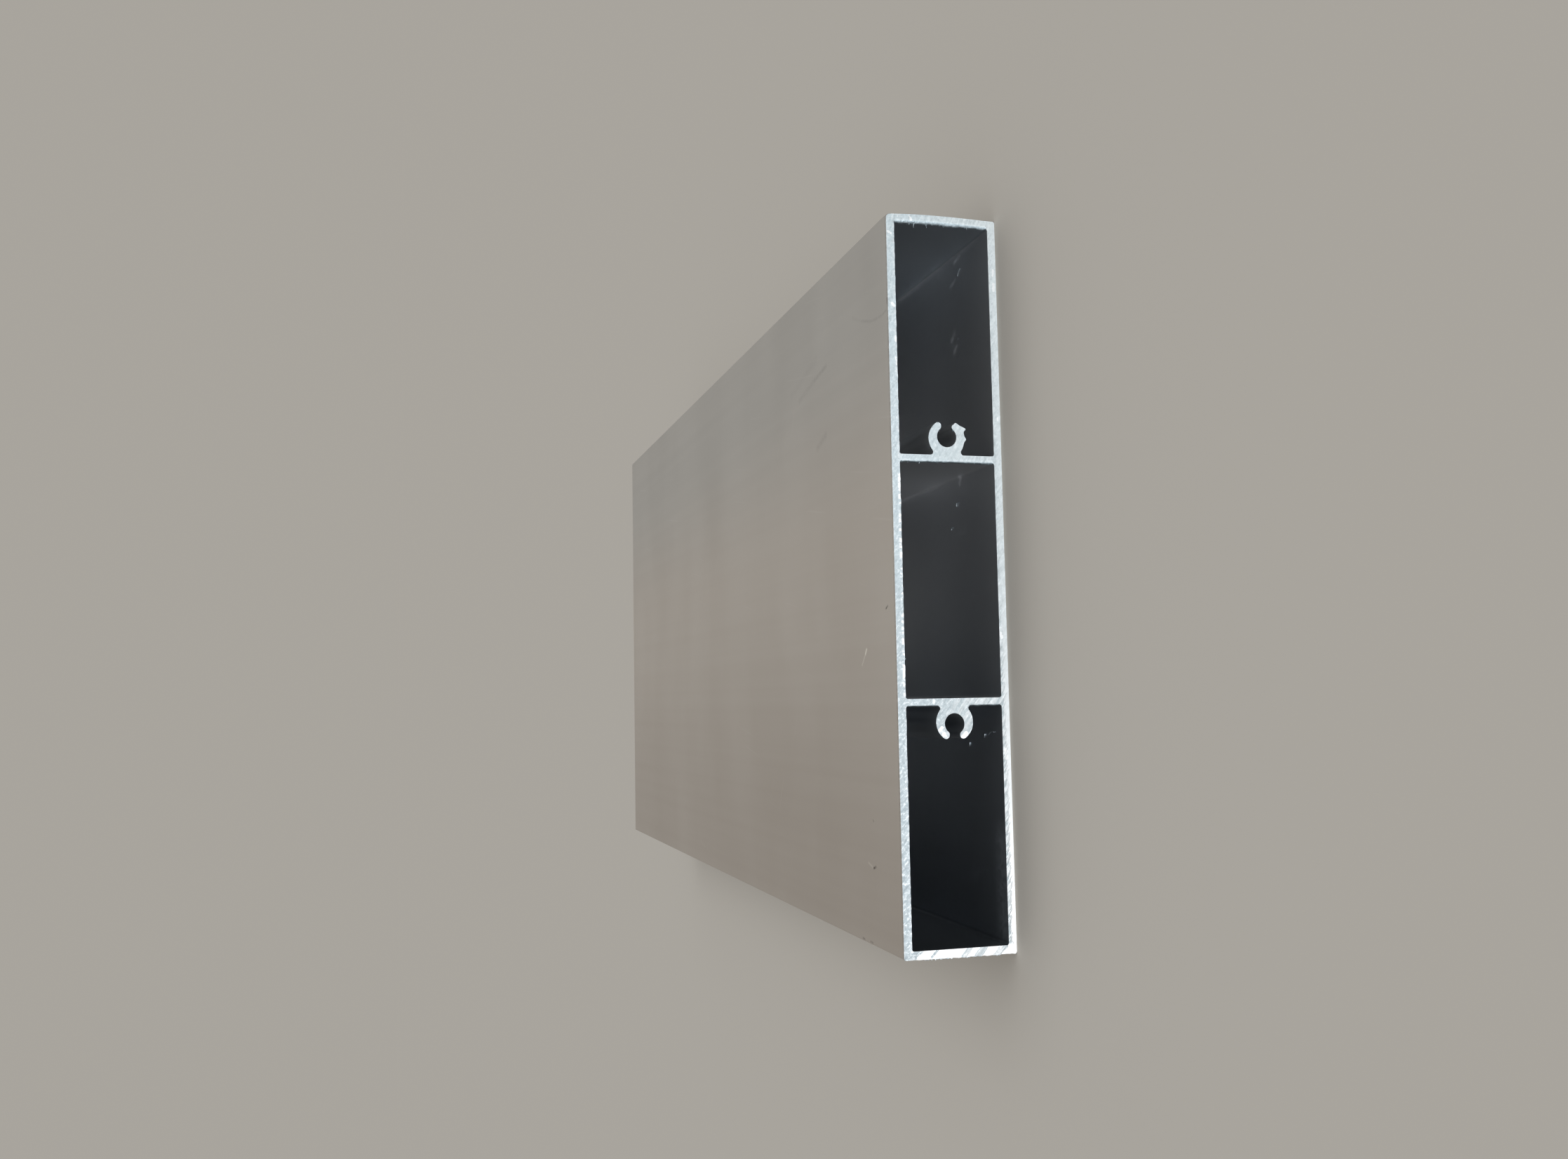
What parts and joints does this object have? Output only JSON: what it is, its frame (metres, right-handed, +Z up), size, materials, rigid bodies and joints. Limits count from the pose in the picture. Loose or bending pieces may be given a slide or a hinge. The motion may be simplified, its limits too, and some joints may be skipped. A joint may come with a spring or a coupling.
{
  "type": "aluminium extrusion profile",
  "caption": "Flat hollow rectangular extrusion with inner webs and open C-shaped screw ports, sawn square at both ends.",
  "frame": {"origin": "on the floor, under the middle of the piece as it lies on a wide face", "axes": "+X across the wide faces, +Y along the extrusion away from the sawn end that the picture shows, +Z up through the thickness"},
  "size_m": [0.125, 0.26, 0.02],
  "materials": {
    "mill_aluminium": "satin mill finish on the faces, bright saw marks on the ends"
  },
  "bodies": {
    "root": {"slat_profile": "mill_aluminium"}
  },
  "joints": []
}
